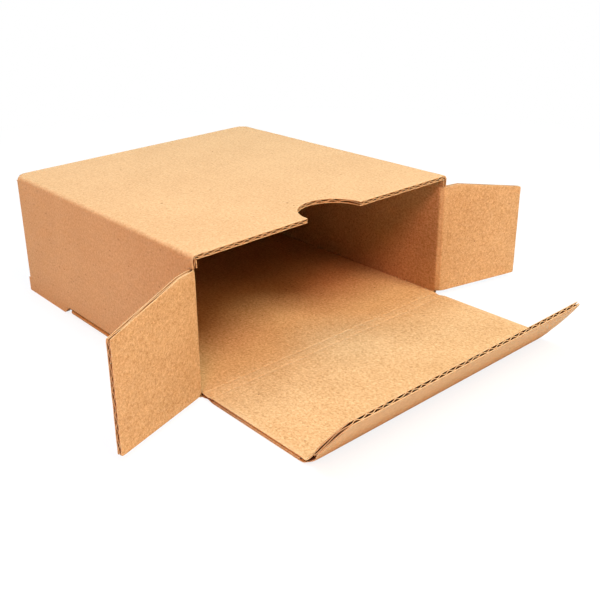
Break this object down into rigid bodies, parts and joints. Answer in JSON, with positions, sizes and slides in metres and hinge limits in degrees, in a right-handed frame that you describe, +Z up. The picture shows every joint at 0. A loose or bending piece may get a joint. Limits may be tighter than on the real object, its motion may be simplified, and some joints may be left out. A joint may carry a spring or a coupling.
{
  "type": "cardboard box",
  "caption": "Kraft corrugated tuck-end carton lying on its broad side, front lid laid open with its tuck flap half folded and dust flaps swung out.",
  "frame": {"origin": "centre of the face that the carton rests on, under the folded tube", "axes": "+Z up, +Y towards the shut rear end, -Y out of the open front end, +X to the right seen from the front"},
  "size_m": [0.3242, 0.3091, 0.084],
  "materials": {
    "kraft_board": "matte kraft corrugated board"
  },
  "bodies": {
    "carton": {"sleeve": "kraft_board"},
    "left_flap": {"left_dust_flap": "kraft_board"},
    "right_flap": {"right_dust_flap": "kraft_board"},
    "front_lid": {"lid": "kraft_board"},
    "front_tuck": {"tuck_flap": "kraft_board"},
    "back_lid": {"rear_lid": "kraft_board"},
    "back_tuck": {"rear_tuck_flap": "kraft_board"}
  },
  "joints": [
    {"name": "left_flap_hinge", "type": "hinge", "parent": "carton", "child": "left_flap", "pos_m": [-0.0985, -0.0996, 0.04], "axis": [0, 0, 1], "range_deg": [-17.5, 162.5]},
    {"name": "right_flap_hinge", "type": "hinge", "parent": "carton", "child": "right_flap", "pos_m": [0.0985, -0.0996, 0.04], "axis": [0, 0, -1], "range_deg": [-12.5, 167.5]},
    {"name": "lid_hinge", "type": "hinge", "parent": "carton", "child": "front_lid", "pos_m": [0, -0.1031, 0.0015], "axis": [-1, 0, 0], "range_deg": [0, 84]},
    {"name": "tuck_hinge", "type": "hinge", "parent": "front_lid", "child": "front_tuck", "pos_m": [0, -0.1804, 0.0015], "axis": [-1, 0, 0], "range_deg": [-53, 45]},
    {"name": "rear_lid_hinge", "type": "hinge", "parent": "carton", "child": "back_lid", "pos_m": [0, 0.1031, 0.0825], "axis": [1, 0, 0], "range_deg": [0, 80]},
    {"name": "rear_tuck_hinge", "type": "hinge", "parent": "back_lid", "child": "back_tuck", "pos_m": [0, 0.1031, 0.0071], "axis": [1, 0, 0], "range_deg": [-40, 0]}
  ],
  "couplings": [
    {"joint": "rear_tuck_hinge", "follows": "rear_lid_hinge", "ratio": -0.5}
  ]
}
